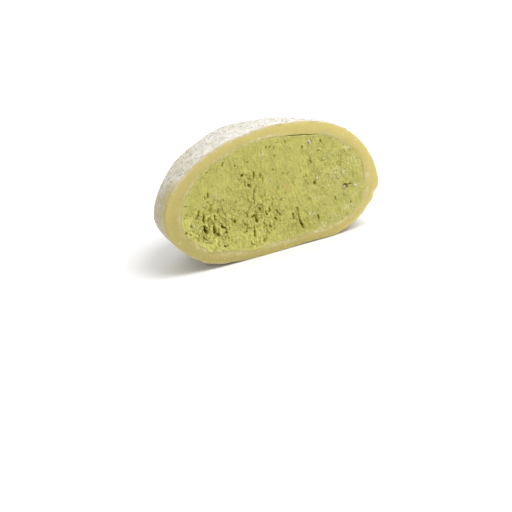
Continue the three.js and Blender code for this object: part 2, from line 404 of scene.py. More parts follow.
# %% Short words for nodes
class Nodes:
    """Short words for adding nodes to a tree and joining them."""

    def __init__(self, tree):
        self.tree = tree

    def add(self, kind, settings=None, **inputs):
        """A node of a kind, with settings such as its operation, and inputs by name or number.
        An input is a plain value or another node's output."""
        node = self.tree.nodes.new(kind)
        for key, value in (settings or {}).items():
            setattr(node, key, value)
        for key, value in inputs.items():
            socket = node.inputs[int(key[1:]) if key[1:].isdigit() else key.replace("_", " ")]
            if isinstance(value, bpy.types.NodeSocket):
                self.tree.links.new(value, socket)
            else:
                socket.default_value = value
        return node

    def group(self, tree, **inputs):
        """The output of a shared effect placed with this material's values."""
        return self.add("ShaderNodeGroup", {"node_tree": tree}, **inputs).outputs[0]

    def math(self, operation, a, b):
        """The result of a sum such as ADD on two numbers."""
        return self.add("ShaderNodeMath", {"operation": operation}, _0=a, _1=b).outputs[0]

    def plus(self, a, b):
        return self.math("ADD", a, b)

    def times(self, a, b):
        return self.math("MULTIPLY", a, b)

    def mix(self, share, a, b, blend="MIX"):
        """A colour between a and b."""
        settings = {"data_type": "RGBA", "blend_type": blend}
        return self.add("ShaderNodeMix", settings, _0=share, _6=a, _7=b).outputs[2]

    def ramp(self, value, low, high):
        """0 where the value is low, 1 where it is high, smooth in between."""
        settings = {"interpolation_type": "SMOOTHSTEP"}
        return self.add("ShaderNodeMapRange", settings, Value=value, _1=low, _2=high).outputs[0]

    def noise(self, place, scale, detail=2.0, roughness=0.5):
        """Cloudy noise from 0 to 1, about scale clouds to the metre."""
        inputs = {"Vector": place, "Scale": scale, "Detail": detail, "Roughness": roughness}
        return self.add("ShaderNodeTexNoise", None, **inputs).outputs["Fac"]

    def attribute(self, name):
        """A number that the mesh carries at each point."""
        return self.add("ShaderNodeAttribute", {"attribute_name": name}).outputs["Fac"]


print("Words for nodes:", ", ".join(word for word in vars(Nodes) if word[0] != "_"))

# %% [markdown]
# The dough, the filling, the starch and the ice share three effects: a mottle is a slow change
# between two tones, a grain is a fine roughness, and the powder tone is the colour of starch by
# its thickness. Each could be repeated in every material. As a node group with named inputs it is
# built once, and each material places it with its own values.

# %% Shared effects
STARCH_DRY = (0.755, 0.732, 0.695, 1)
STARCH_DAMP = (0.525, 0.476, 0.33, 1)
SOCKETS = {type(None): "NodeSocketVector", tuple: "NodeSocketColor", float: "NodeSocketFloat"}


def new_group(name, output, **inputs):
    """A node group with named sockets: its tree, helper, given inputs and result socket. The
    type of an input's plain value tells its kind: a number, a colour, or nothing for a place."""
    tree = bpy.data.node_groups.new(name, "ShaderNodeTree")
    for key, value in inputs.items():
        title, kind = key.replace("_", " "), SOCKETS[type(value)]
        socket = tree.interface.new_socket(title, in_out="INPUT", socket_type=kind)
        if value is not None:
            socket.default_value = value
    title, kind = output
    tree.interface.new_socket(title, in_out="OUTPUT", socket_type=SOCKETS[kind])
    given = tree.nodes.new("NodeGroupInput").outputs
    return tree, Nodes(tree), given, tree.nodes.new("NodeGroupOutput").inputs[title]


def mottle_group():
    """Two tones in slow patches, with smaller patches inside them."""
    tones = {"Tone_A": (1, 1, 1, 1), "Tone_B": (0, 0, 0, 1)}
    inputs = {"Place": None, **tones, "Size": 300.0, "Contrast": 0.15}
    tree, nodes, given, result = new_group("mottle", ("Color", tuple), **inputs)
    value = nodes.noise(given["Place"], given["Size"], 3.0, 0.6)
    low = nodes.math("SUBTRACT", 0.5, given["Contrast"])
    high = nodes.plus(0.5, given["Contrast"])
    share = nodes.ramp(value, low, high)
    tree.links.new(nodes.mix(share, given["Tone A"], given["Tone B"]), result)
    return tree


def grain_group():
    """The height of a fine grain, coarse bumps and a third as much of finer ones."""
    inputs = {"Place": None, "Size": 3000.0}
    tree, nodes, given, result = new_group("grain", ("Height", float), **inputs)
    coarse = nodes.noise(given["Place"], given["Size"], 2.0, 0.6)
    fine = nodes.noise(given["Place"], nodes.times(given["Size"], 2.7), 1.0)
    tree.links.new(nodes.plus(coarse, nodes.times(fine, 0.33)), result)
    return tree


def powder_group():
    """The colour of starch: dry and white where it is thick, damp and beige where it is thin."""
    inputs = {"Place": None, "Thickness": 1.0}
    tree, nodes, given, result = new_group("powder tone", ("Color", tuple), **inputs)
    cloud = nodes.noise(given["Place"], 1100.0, 4.0, 0.65)
    thick = nodes.ramp(given["Thickness"], 0.25, 0.75)
    full = nodes.ramp(given["Thickness"], 1.2, 0.75)
    swing = nodes.times(nodes.times(thick, full), 1.6)
    uneven = nodes.times(nodes.math("SUBTRACT", cloud, 0.5), swing)
    pale_share = nodes.ramp(nodes.plus(given["Thickness"], uneven), 0.3, 1.1)
    tree.links.new(nodes.mix(pale_share, STARCH_DAMP, STARCH_DRY), result)
    return tree


MOTTLE, GRAIN, POWDER_TONE = mottle_group(), grain_group(), powder_group()


def mottled(nodes, place, tone_a, tone_b, size, contrast):
    """The shared mottle between two tones, placed in a material."""
    tones = {"Tone_A": tone_a, "Tone_B": tone_b}
    return nodes.group(MOTTLE, Place=place, Size=size, Contrast=contrast, **tones)


def finish(name, colour, grain, **values):
    """A material whose colour is made by a function of its nodes, place and shader, with a bump
    of the shared grain. The grain is its size, strength and height."""
    material, tree, shader = principled(name, **values)
    nodes = Nodes(tree)
    place = nodes.add("ShaderNodeTexCoord").outputs["Object"]
    tree.links.new(colour(nodes, place, shader), shader.inputs["Base Color"])
    size, strength, distance = grain
    height = nodes.group(GRAIN, Place=place, Size=size)
    bump = nodes.add("ShaderNodeBump", None, Height=height, Strength=strength, Distance=distance)
    tree.links.new(bump.outputs["Normal"], shader.inputs["Normal"])
    return material


print(f"Shared effects: {MOTTLE.name}, {GRAIN.name} and {POWDER_TONE.name}")

# %% [markdown]
# The dough is waxy and lets a little light through, so it gets subsurface scattering about a
# millimetre deep. On the cut it is bare, with painted light: paler toward the crown, the right and
# the outer edge, and deeper by the foot. It is whitish where frost lies against the filling, and
# painted shade turns it dark brown in the slits and the hidden bowl. Outside it is hidden under
# starch, which shows as a white coat broken by olive dough. One material does both, led by
# attributes that the mesh carries.

# %% Dough material
DOUGH_PAINTED_LIT = (0.55, 0.465, 0.150, 1)
DOUGH_PAINTED_SHADE = (0.388, 0.328, 0.103, 1)
DOUGH_OUTSIDE = (0.42, 0.355, 0.18, 1)
DOUGH_SHADED = (0.20, 0.13, 0.01, 1)
FROST = (0.60, 0.53, 0.29, 1)


def dough_colour(nodes, place, shader):
    """Bare dough between painted shade and painted light, frost on it, and starch over both, which
    is also rougher.
    """
    cloud = nodes.times(nodes.noise(place, 2400.0), 0.42)
    # Painted light: the cut is paler toward its outer edge, as if lit through the dough.
    edge = nodes.times(nodes.ramp(nodes.attribute("across"), 0.5, 0.0), 0.24)
    tone = nodes.plus(nodes.math("SUBTRACT", cloud, 0.15), edge)
    pale_share = nodes.plus(nodes.attribute("pale_share"), tone)
    # Painted light and shade: the bare dough is mixed between a lit and a shaded tone.
    bare = nodes.mix(pale_share, DOUGH_PAINTED_SHADE, DOUGH_PAINTED_LIT)
    # Painted shade: in the slits and the hidden bowl the dough turns dark brown.
    bare = nodes.mix(nodes.ramp(pale_share, -0.2, -0.6), bare, DOUGH_SHADED)
    bare = nodes.mix(nodes.attribute("frost"), bare, FROST)
    starch = nodes.attribute("starch")
    patches = nodes.times(nodes.noise(place, 650.0, 2.0), 0.5)
    speckle = nodes.times(nodes.noise(place, 1600.0, 2.0, 0.6), 0.8)
    lift = nodes.math("SUBTRACT", nodes.plus(patches, speckle), 0.44)
    cover = nodes.plus(nodes.times(starch, 0.6), lift)
    mask = nodes.times(nodes.ramp(cover, 0.15, 0.5), nodes.ramp(starch, 0.02, 0.2))
    roughness = nodes.add("ShaderNodeMapRange", None, Value=mask, _3=0.42, _4=0.95).outputs[0]
    nodes.tree.links.new(roughness, shader.inputs["Roughness"])
    outside = nodes.mix(nodes.ramp(starch, 0.2, 0.35), bare, DOUGH_OUTSIDE)
    return nodes.mix(mask, outside, nodes.group(POWDER_TONE, Place=place, Thickness=starch))


dough_finish = finish(
    "rice_dough_and_starch",
    dough_colour,
    grain=(2400, 0.35, 0.00012),
    Subsurface_Weight=0.35,
    Subsurface_Radius=(1.0, 0.75, 0.35),
    Subsurface_Scale=0.0012,
    Specular_IOR_Level=0.35,
)
print(f"{dough_finish.name} has {len(dough_finish.node_tree.nodes)} nodes")

# %% [markdown]
# A hand closed this dough round its filling, so no outline on it is a true curve. That could be
# sculpted by hand. Here bells shift the surface: broad ones press the outside, and small ones bend
# the two outlines of the cut. The low slanted waves are the packed solid's own.

# %% Touches of the hand
LUMP, LUMP_RISE = 0.011, 6  # share of the size, and mm over which the waves rise
# slopes along x, y and z, and the turn of each wave
LUMPS = [(3.1, 1.9, 2.4, 0.4), (-2.2, 4.3, 1.3, 2.1), (4.6, -2.7, 3.8, 4.4)]
HAND_LUMPS = [
    # x, y behind the cut, z, reach and outward shift in mm
    (-18.2, 13, 17.2, 5, -0.62), (-22.4, 8.2, 10.6, 3.2, 0.6), (-2.8, 13, 24, 4.8, 0.72),
    (-22, 3, 6.9, 2.2, -0.35), (13, 5.5, 24, 3, -0.55), (14, 17, 17, 6, 0.35), (2, 22, 12, 6, -0.3),
    (-9, 20.5, 10, 4.5, 0.3), (19, 12, 9, 4, -0.3),
]
WOBBLE = 0.07  # mm: small waves of both outlines
TOUCH_FADES = 5  # mm behind the cut at which a touch is gone
OUTER_TOUCHES = [
    # x, z, reach and outward shift in mm
    (23.9, 8.8, 1.5, 0.22), (22.9, 6.8, 0.6, -0.34), (22.9, 14.8, 2.6, -0.05),
    (20.9, 4.4, 1, -0.12), (18, 2, 1.2, 0.1), (7.5, 0.2, 4.5, -0.22), (-10.5, 0.5, 2.4, -0.36),
    (-16.6, 1.8, 1.2, 0.16), (-20.8, 5.2, 1.1, -0.18), (-23.4, 8.7, 1, 0.18),
    (-17.5, 21.5, 2.2, -0.2), (-3.2, 26.1, 1.8, -0.17), (5.8, 26, 1.8, -0.14),
    (-9.8, 25.1, 1.2, 0.12), (24, 11.6, 2, 0.12), (18, 21.5, 4, 0.09),
]
INNER_TOUCHES = [
    # the same where the dough meets the filling
    (-8.3, 22.8, 3.2, -0.46), (6.6, 23.2, 4.4, -0.44), (17, 18.6, 2.6, -0.46),
    (-17.3, 18, 2.6, -0.46), (-14.8, 3.7, 1.7, 0.42), (-5.6, 1.9, 2.4, 0.36),
    (8.6, 2.4, 2.4, -0.22), (12.8, 2.6, 2.6, -0.26), (-10.5, 2.7, 1.8, -0.32),
    (-19.8, 14.4, 3, -0.34), (10.6, 22.2, 1.8, -0.22),
]


def lumpy(points):
    """Lets the outside in and out by the same low lumps as the solid's. Three slanted sine waves
    add up, and fade out at the cut, the foot and the furthest back."""
    u, v, w = ((points - CENTRE) / STRETCH).T
    wave = sum(np.sin(x * u + y * v + z * w + turn) for x, y, z, turn in LUMPS)
    y, z = points[:, 1], points[:, 2]
    rise = smooth(0, LUMP_RISE, y) * (1 - smooth(DEPTH - LUMP_RISE, DEPTH, y))
    scale = 1 + LUMP * wave * rise * smooth(0, LUMP_RISE, z) / len(LUMPS)
    return CENTRE + (points - CENTRE) * scale[:, None]


def touched(points, touches):
    """Shifts the outline near the cut in or out: each touch is a bell round its place, pointing
    away from the cut's middle, and fades out behind the cut."""
    x, y, z = points.T
    away = unit((points - CENTRE) * (1, 0, 1))
    shift = sum(out * bell(x, z, *place) for *place, out in touches)
    shift = shift + WOBBLE * hills(points * (1, 0, 1), 1.7, 17)
    return points + away * (shift * (1 - smooth(0, TOUCH_FADES, y)))[:, None]


def pressed(points, outward):
    """Lets the outside in or out by broad bells, as fingers left it."""
    shift = np.zeros(len(points))
    for x, y, z, size, out in HAND_LUMPS:
        shift += out * np.exp(-((points - (x, y, z)) ** 2).sum(1) / size**2)
    return points + outward * (shift * smooth(0, 2.5, points[:, 1]))[:, None]


print(f"{len(HAND_LUMPS)} touches outside and {len(OUTER_TOUCHES + INNER_TOUCHES)} on the cut")

# %% [markdown]
# The outside is coated with starch. A material could draw that alone, but then the outline would
# stay smooth, so the coat also lifts the mesh. How thick it lies is worked out once for each point,
# and the material and the loose grains use the same cover.

# %% Dusted outside
OUTSIDE_CELLS = (330, 200)
EDGE = 0.38  # mm: radius of the edge between outside and cut


def starch_cover(points):
    """How thick the starch lies, from 0 to 1: full on the crown, thin round the belly, and more
    again by the foot, with cloudy patches. Beside the cut some has been rubbed off, most of it
    on the left."""
    x, y, z = points.T
    cover = 0.44 + 0.36 * np.clip((z - 14) / 12, 0, 1) + 0.10 * (1 - smooth(0.5, 4, z))
    clouds = 0.12 * hills(points, 5.0, 11) + 0.15 * hills(points, 1.7, 12)
    clouds *= 0.15 + 0.85 * smooth(10, 20, z)
    worn = (0.22 + 0.14 * smooth(5, 12, z)) * (1 - smooth(0, 5, y)) * (1 - smooth(16, 23, z))
    worn *= 1 - 0.4 * smooth(0, 12, x)
    return np.clip(cover + clouds - worn, 0.05, 1)


def starch_height(points, cover):
    """The coat's thickness in mm: even powder, and clumps where the waves run high."""
    clump = np.maximum(hills(points, 0.9, 13) + 0.2, 0) ** 2 * 0.18
    powder = 0.035 * hills(points, 0.5, 14)
    return 0.9 * cover * (0.04 + clump + powder) * (1 - 0.25 * smooth(21, 25, points[:, 2]))


def skin_outside():
    """Points, faces and starch cover of the dusted outside."""
    p, q = disc_grid(*OUTSIDE_CELLS)
    points = touched(lumpy(surface(OUTSIDE, p, q)), OUTER_TOUCHES)
    faces = grid_quads(*OUTSIDE_CELLS)[:, ::-1]
    outward = normals_of(points, faces)
    points = pressed(points, outward)
    cover = starch_cover(points)
    sag = 0.13 * hills(points, (5.0, 5.0, 7.0), 15) + 0.09 * hills(points, (1.6, 1.6, 2.6), 16)
    near_cut = smooth(0, 0.7, points[:, 1])
    off_floor = smooth(0, 1.5, points[:, 2])
    height = starch_height(points, cover) * (0.15 + 0.85 * near_cut) + sag * near_cut
    points = points + outward * (height * off_floor)[:, None]
    points[:, 1] = EDGE + points[:, 1] * (DEPTH - EDGE) / DEPTH
    points[:, 2] = np.maximum(points[:, 2], 0)
    return points, faces, cover


skin_points, skin_faces, skin_cover = skin_outside()
print(f"The coat covers {skin_cover.mean():.0%} of the outside")

# %% [markdown]
# The knife left a rounded edge and a band of bare dough. It could be a bevelled solid, but then the
# starch couldn't thin out over the edge. Here rows of points run from the outside over the edge to
# the filling, and each row knows how far across it is.

# %% Bare cut
LIP = 0.07  # mm: radius of the edge against the filling
EDGE_ROWS, CUT_ROWS, LIP_ROWS = 6, 14, 2
CREASE_X = 6.8  # mm: where a crease crosses the dough by the crown


def cut_rows(rim, lip):
    """Loops from the outside's rim over the cut to the filling. A quarter circle rounds the
    edge, straight rows cross the cut with a low swell, and another quarter turns in at the
    filling. Returns the loops and how far across each one is."""
    run = (lip - rim) * (1, 0, 1)
    width = np.linalg.norm(run, axis=1, keepdims=True)
    inward = run / width
    loops, shares = [], []

    def add_loop(distance, depth):
        points = rim + inward * distance
        points[:, 1:2] = depth
        loops.append(points)
        shares.append((distance / width)[:, 0])

    for angle in np.linspace(0, math.pi / 2, EDGE_ROWS + 1)[1:]:
        add_loop(EDGE * (1 - math.cos(angle)) + 0 * width, EDGE * (1 - math.sin(angle)))
    for share in np.linspace(0, 1, CUT_ROWS + 1)[1:]:
        add_loop(EDGE + (width - EDGE - LIP) * share, -0.14 * math.sin(math.pi * share) ** 0.8)
    for angle in np.linspace(0, math.pi / 2, LIP_ROWS + 1)[1:]:
        add_loop(width - LIP + LIP * math.sin(angle), LIP * (1 - math.cos(angle)))
    return loops, shares


def roughen_cut(points):
    """Shifts points of the cut a little: slow waves, faint lines the knife dragged down, and a
    crease near the crown."""
    x, _, z = points.T
    slow = 0.05 * hills(points, (2.6, 2.6, 2.6), 21)
    lines = 0.012 * hills(points, (0.45, 1, 5.0), 22)
    crease = 0.07 * np.exp(-(((x - CREASE_X - 0.08 * (z - 25)) / 0.22) ** 2)) * (z > 20)
    points[:, 1] += slow + lines + crease
    return points


print(f"{EDGE_ROWS + CUT_ROWS + LIP_ROWS} rows of points cross the cut")

# %% [markdown]
# The bare dough isn't one colour. Frost lies against the filling, starch broke off over the edge,
# and light and shade are painted on the dough, paler toward the crown, the right and the outer
# edge.
# In places the filling has come away from it, and the dough behind such a slit gets painted shade.
# Each could be painted as a picture. Here each is a number at every point, from named places and
# soft waves, which the material turns into colour.

# %% Frost, starch and painted light of the cut
SLITS = [
    # x, z, half length and width in mm
    (8.2, 22.85, 3.9, 0.23), (1.8, 23.6, 2.6, 0.08), (21, 12.8, 2.4, 0.1),
]
SLIT_DEPTH = 3.0  # mm behind the cut at which a slit has closed
DARK_SLIT = 0.08  # mm of width at which a slit is fully dark
FROST_PLACES = [
    # x, z, reach in mm, strength, and how much of the skin it covers from the filling out
    (-0.5, 23.8, 4.5, 1, 0.36), (13.7, 21.3, 2.5, 0.5, 0.28), (21.6, 10.5, 3.2, 0.36, 0.55),
    (20.4, 6.4, 2.6, 0.55, 0.5), (9.2, 2.4, 2.6, 1, 0.4), (-10.8, 3, 4.2, 0.6, 0.6),
    (-17.2, 5.8, 2.5, 0.7, 0.3), (-17, 18, 5, 0.6, 0.3), (-20.6, 12, 4.5, 0.5, 0.3),
    (-10, 21.8, 4, 0.7, 0.3), (14.5, 3.4, 4, 1, 0.38), (0.5, 1.8, 5, 0.6, 0.6),
]
FROST_OUTSIDE = [(19.0, 3.4, 3.0), (22.4, 6.6, 1.6)]  # x, z and radius along the outer edge
FROST_BLOBS = [(21.6, 10.4, 0.5), (21.65, 11.1, 0.5), (21.2, 8.0, 0.35), (17.5, 20.6, 0.25)]
CORNER_PAINTED_LIGHT = (18.5, 3.5, 5.0)  # x, z and radius of painted light on the dough at the lower right


def drawn_in(points):
    """How far the slits hold the filling back from the dough, in mm: each is a half ellipse
    along the outline, and closes behind the cut."""
    x, y, z = points.T
    width = np.zeros(len(points))
    for at_x, at_z, half, wide in SLITS:
        away = ((x - at_x) ** 2 + (z - at_z) ** 2) / half**2
        width = np.maximum(width, wide * np.sqrt(np.clip(1 - away, 0, 1)))
    return width * (1 - smooth(0, SLIT_DEPTH, y))


def in_slit(points):
    """How dark it is between dough and filling, from 0 to 1."""
    return np.clip(drawn_in(points) / DARK_SLIT, 0, 1)


def frost_on(points, across):
    """Frost on the cut, from 0 to 1: ragged patches against the filling round named places, a
    few blobs there, and a little along the outer edge."""
    x, _, z = points.T
    ragged = across + 0.09 * hills(points, 0.8, 23)
    broken = 0.35 + 0.65 * smooth(-0.2, 0.3, hills(points, 0.8, 26))
    frost = np.zeros(len(points))
    for *place, strength, wide in FROST_PLACES:
        near = strength * bell(x, z, *place)
        frost = np.maximum(frost, near * smooth(1 - wide, 1 - wide / 2, ragged))
    outer = 0.7 * spots(x, z, FROST_OUTSIDE) * (1 - smooth(0.1, 0.5, ragged))
    blobs = 0.8 * spots(x, z, FROST_BLOBS) * (0.6 + 0.4 * broken)
    return np.maximum(np.maximum(frost * broken, blobs), outer)


def starch_on_cut(points, across, cover):
    """The coat's own cover where it breaks off over the edge, raggedly, and wider on the left."""
    left = 1 - smooth(-8, 4, points[:, 0])
    frayed = across + (0.08 + 0.08 * left) * hills(points, 0.6, 25)
    edge_fade = (0.5 + 0.3 * left) * (1 - smooth(0, 0.16 + 0.10 * left, frayed))
    ragged = hills(points, 0.8, 24) * 0.4 - 0.1
    return np.clip(cover * edge_fade * (0.9 + ragged), 0, 1)


def painted_light_and_tone(points, across):
    """How pale the dough is, about 0 to 1. Painted light makes it paler to the right, the crown,
    the outer right edge and a corner at the lower right. It is darker beside the filling at the
    left and the foot, has slow and fine patches, and painted shade in the slits."""
    x, _, z = points.T
    # Painted light: paler to the right and toward the crown.
    pale_share = 0.44 + 0.50 * x / WIDTH + 0.62 * (z / HEIGHT - 0.5)
    pale_share += 0.12 * hills(points, 2.6, 27) + 0.10 * hills(points, 0.9, 28)
    # Painted light along the outer right edge.
    pale_share += 0.45 * (0.8 - across) * smooth(8, 21, x)
    # Painted light in the corner at the lower right.
    pale_share += 0.25 * spots(x, z, [CORNER_PAINTED_LIGHT])
    inner_left = np.maximum(1 - smooth(-10, 2, x), 1 - smooth(2, 8, z))
    pale_share -= 0.24 * smooth(0.5, 0.9, across) * inner_left
    # Painted shade in the slits.
    return pale_share - 1.2 * in_slit(points) * (across > 0.999)


print(f"{len(FROST_PLACES)} places of frost and {len(SLITS)} slits")

# %% [markdown]
# The skin is one closed shell: the dusted outside, the cut, and the bowl behind it that holds the
# filling. The packed solid could be kept and only coloured, but its few faces would show. The new
# shell takes its place, and the solid stays for collisions.

# %% Skin piece
BOWL_ROWS = 5
BOWL_SHADE = 0.8  # taken off the pale share as painted shade where no light comes


def rice_skin():
    """The skin's points, faces and attributes, from the outside over the cut into the bowl."""
    border = grid_border(*OUTSIDE_CELLS)
    p, q = (values[border] for values in disc_grid(*OUTSIDE_CELLS))
    bowl = [
        touched(surface(INSIDE, p * r, q * r), INNER_TOUCHES)
        for r in np.linspace(1, 0, BOWL_ROWS + 1)[:-1]
    ]
    loops, shares = cut_rows(skin_points[border], bowl.pop(0))
    loops = [roughen_cut(loop) for loop in loops] + bowl
    tip = surface(INSIDE, np.zeros(1), np.zeros(1))
    inner = np.concatenate([*loops, tip])
    points = np.concatenate([skin_points, inner])
    count = len(border)
    first = len(skin_points)
    rows = [border] + [first + k * count + np.arange(count) for k in range(len(loops))]
    faces = [skin_faces, bands(rows), fan(rows[-1], len(points) - 1)]
    hidden = len(bowl) * count + 1
    across = np.concatenate([*shares, np.ones(hidden)])
    carried = np.tile(skin_cover[border], len(loops) + 1)[: len(inner)]
    on_cut = starch_on_cut(inner, across, carried)
    frost = frost_on(inner, across)
    across = np.concatenate([np.zeros(first), across])
    pale_share = painted_light_and_tone(points, across)
    # Painted shade in the hidden bowl.
    pale_share[-hidden:] -= BOWL_SHADE
    attributes = {
        "across": across,
        "starch": np.concatenate([skin_cover, on_cut]),
        "frost": np.concatenate([np.zeros(first), frost]),
        "pale_share": pale_share,
    }
    piece = add_piece("dough_skin", points, faces, dough_finish, "rice_dough", **attributes)
    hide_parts("rice_skin")


rice_skin()

# %% [markdown]
# The filling is frozen, so the knife tore it rather than sliced it. It ripped out slots and pits,
# most of them at the lower left, and left loose flakes beside them. A bump map would look flat at a
# slant, so all of this is real relief. The tears come first: the large ones listed one by one,
# small ones at random, and more where the face is crumbled.

# %% Tears
TEARS = [
    # x, z, half length, half width and depth in mm, and how far the foot leans to the right
    (-16.8, 12, 0.95, 0.29, 1.9, -0.55), (-15.7, 11.2, 1.2, 0.31, 1.9, -0.1),
    (-15.5, 8.7, 1.15, 0.42, 1.9, 0.2), (-16.2, 7, 0.45, 0.26, 1.3, 0.3),
    (-13.3, 10.5, 0.8, 0.25, 1.3, -0.1), (-13.6, 8.2, 1, 0.36, 1.3, 0.05),
    (-12.9, 6.9, 0.38, 0.26, 1, 0.4), (-11.7, 8.3, 0.8, 0.3, 1.2, 0.15),
    (-11.1, 7.3, 0.95, 0.24, 1.1, 0.2), (-19.8, 9.1, 0.5, 0.26, 1, 0.5),
    (-18.6, 10.2, 0.42, 0.2, 0.7, 0.4), (-19, 8.6, 0.35, 0.18, 0.5, 0),
    (-19.2, 14.6, 0.16, 0.45, 0.5, 0), (-8.9, 8.8, 0.38, 0.34, 0.9, 0),
    (-4.2, 7.8, 0.7, 0.34, 1.1, 0), (-4.9, 5.4, 1.4, 0.32, 0.7, 0),
    (-4.6, 8.6, 0.28, 0.55, 0.8, 0.6), (-3.65, 14.1, 1.05, 0.16, 0.6, -0.55),
    (-4.1, 12.2, 1.4, 0.17, 0.7, 0), (-1.9, 8.5, 0.45, 0.28, 0.9, 0.3),
    (-3, 9.8, 0.5, 0.24, 0.8, 0.3), (-0.9, 9.3, 0.5, 0.2, 0.8, 0.2),
    (-11.9, 4.2, 0.36, 0.2, 0.9, 0), (-11.3, 4.1, 0.26, 0.15, 0.6, 0),
    (-5.9, 3.4, 0.8, 0.22, 0.5, 0.3), (-3.1, 3.1, 0.5, 0.4, 0.4, 0),
    (-14, 15.6, 0.75, 0.18, 0.7, 0), (-14.7, 15.4, 0.6, 0.12, 0.4, 0.1),
    (-12.3, 12, 0.55, 0.22, 0.7, 0), (-11.6, 13.6, 0.4, 0.15, 0.5, 0.2),
    (-6.1, 9.3, 0.6, 0.2, 0.7, 0.2), (5.2, 7, 1.5, 0.17, 1, 0.02), (5.5, 4.6, 1.4, 0.23, 1.5, 0.38),
    (4.05, 6.3, 0.85, 0.17, 0.8, 0.05), (0.8, 8.1, 1, 0.24, 0.9, 0.5),
    (0.1, 6.9, 0.55, 0.22, 0.7, 0.5), (-1.25, 5.9, 0.8, 0.24, 0.6, 0.1),
    (9.55, 4.8, 0.75, 0.2, 0.8, 0.1), (-9.8, 21.1, 0.45, 0.26, 0.7, -0.4),
    (-13.6, 20.4, 0.24, 0.28, 0.5, 0), (-5.9, 17.8, 0.42, 0.34, 0.9, -0.3),
    (-3.3, 17.1, 0.8, 0.25, 0.9, -0.1), (-4.7, 15.3, 0.55, 0.34, 0.8, 0.2),
    (-1.9, 16.7, 0.75, 0.17, 0.6, -0.2), (-1.5, 15.7, 0.5, 0.14, 0.5, -0.2),
    (-4.3, 20.2, 0.32, 0.34, 0.35, 0), (-7.3, 20.1, 0.28, 0.16, 0.4, 0),
    (0.2, 22.2, 0.28, 0.16, 0.7, 0), (1.1, 22, 0.24, 0.17, 0.7, 0), (2, 21.7, 0.28, 0.16, 0.6, 0),
    (2.7, 22.6, 0.26, 0.15, 0.6, 0), (4.6, 22.3, 0.3, 0.12, 0.4, 0.2),
    (3.1, 15.9, 0.22, 0.22, 0.4, 0), (1.5, 13, 0.6, 0.15, 0.4, 0.1), (16.5, 9.8, 0.6, 0.66, 1.1, 0),
    (17.6, 9.9, 0.2, 0.6, 0.6, 0), (9.8, 12.3, 0.55, 0.26, 0.9, -0.3),
    (8, 12.6, 0.9, 0.12, 0.3, 0.2), (12.4, 20.5, 0.28, 0.24, 0.9, 0),
    (11.6, 18.6, 0.16, 0.44, 0.6, 0), (8.2, 20.2, 0.42, 0.18, 0.7, 0),
    (9.6, 16.9, 1.3, 0.14, 0.5, 0.05), (9, 16.4, 1, 0.5, 0.18, 0), (1, 17.4, 0.2, 0.32, 0.4, 0),
    (13.9, 7.7, 0.6, 0.2, 0.4, 0), (21, 14.1, 0.45, 0.14, 0.9, 0.2),
]
LIP_HIGH = 0.14  # mm: height of the lip round a tear
CRUMBLED = [
    # x, z, half width and half height in mm, and strength
    (-13.5, 9.4, 6.5, 4.4, 1), (-3.5, 8.5, 6, 5.5, 0.75), (5, 6, 5, 3.5, 0.45),
    (-5, 15.5, 5, 4.5, 0.5), (14, 14, 7, 7, 0.32),
]
FACE_X, FACE_Z = (-20, 20.5), (2.8, 23.2)  # mm between which tears and flakes are strewn
SMALL_TEARS = {"count": 300, "half_width": (0.07, 0.16), "deep": (0.10, 0.38), "seed": 31}


def crumbled(x, z):
    """How crumbled the face is, from 0 to 1: the strongest of a few round regions."""
    share = np.full(len(x), 0.1)
    for at_x, at_z, wide, high, strength in CRUMBLED:
        near = np.exp(-(((x - at_x) / wide) ** 2) - ((z - at_z) / high) ** 2)
        share = np.maximum(share, strength * near)
    return share


def tear_depth(x, z, tears):
    """The deepest of the tears at each point, and the height of the lips round them. A tear is an
    ellipse with a steep wall: full depth up to half of the way out, and none at its edge. Its
    lip is a bell over the edge, as high as the tear is deep up to LIP_HIGH."""
    depth, lips = np.zeros(len(x)), np.zeros(len(x))
    for at_x, at_z, half_length, half_width, deep, lean in tears:
        near = (np.abs(z - at_z) < half_length + 0.6) & (np.abs(x - at_x) < 1.8)
        along = z[near] - at_z
        across = x[near] - at_x + lean * along
        out = np.hypot(along / half_length, across / half_width)
        depth[near] = np.maximum(depth[near], deep * (1 - smooth(0.45, 1.05, out)))
        beyond = np.abs(out - 1.25) * min(half_length, half_width) / 0.13
        lips[near] = np.maximum(lips[near], min(deep, LIP_HIGH) * np.exp(-(beyond**2)))
    return depth, lips


def scattered_tears():
    """Small tears at random, kept more often where the face is crumbled."""
    rng = np.random.default_rng(SMALL_TEARS["seed"])
    tries = SMALL_TEARS["count"] * 4
    x, z = rng.uniform(*FACE_X, tries), rng.uniform(*FACE_Z, tries)
    kept = rng.uniform(0, 1, tries) < crumbled(x, z) + 0.12
    kept &= np.cumsum(kept) <= SMALL_TEARS["count"]
    width = rng.uniform(*SMALL_TEARS["half_width"], tries)
    length = width * rng.uniform(1.0, 3.4, tries)
    deep = rng.uniform(*SMALL_TEARS["deep"], tries)
    lean = rng.normal(0.1, 0.3, tries)
    return np.stack([x, z, length, width, deep, lean], -1)[kept]


print(f"{len(TEARS)} tears by hand and {len(scattered_tears())} small ones")

# %% [markdown]
# Between the tears the face is rough as well. The knife dragged fine lines down it and pushed up
# thin flakes, and the ice broke along its grains. Sculpting that by hand would take days. Here one
# depth for each point of the face is added up from simple rules.

# %% Flakes, chunks and depth of the face
RAISED = {"count": 680, "half_width": (0.06, 0.11), "high": (0.10, 0.30), "seed": 32}
DRAGGED = (0, 13, 7)  # x, z and radius of the middle, where the dragged lines are deepest
# x, z and radius of painted light on the crumbs by the foot
FOOT_PAINTED_LIGHT = [(-14.0, 5.0, 4.5), (-4.0, 3.0, 5.0), (-19.5, 11.0, 2.4)]


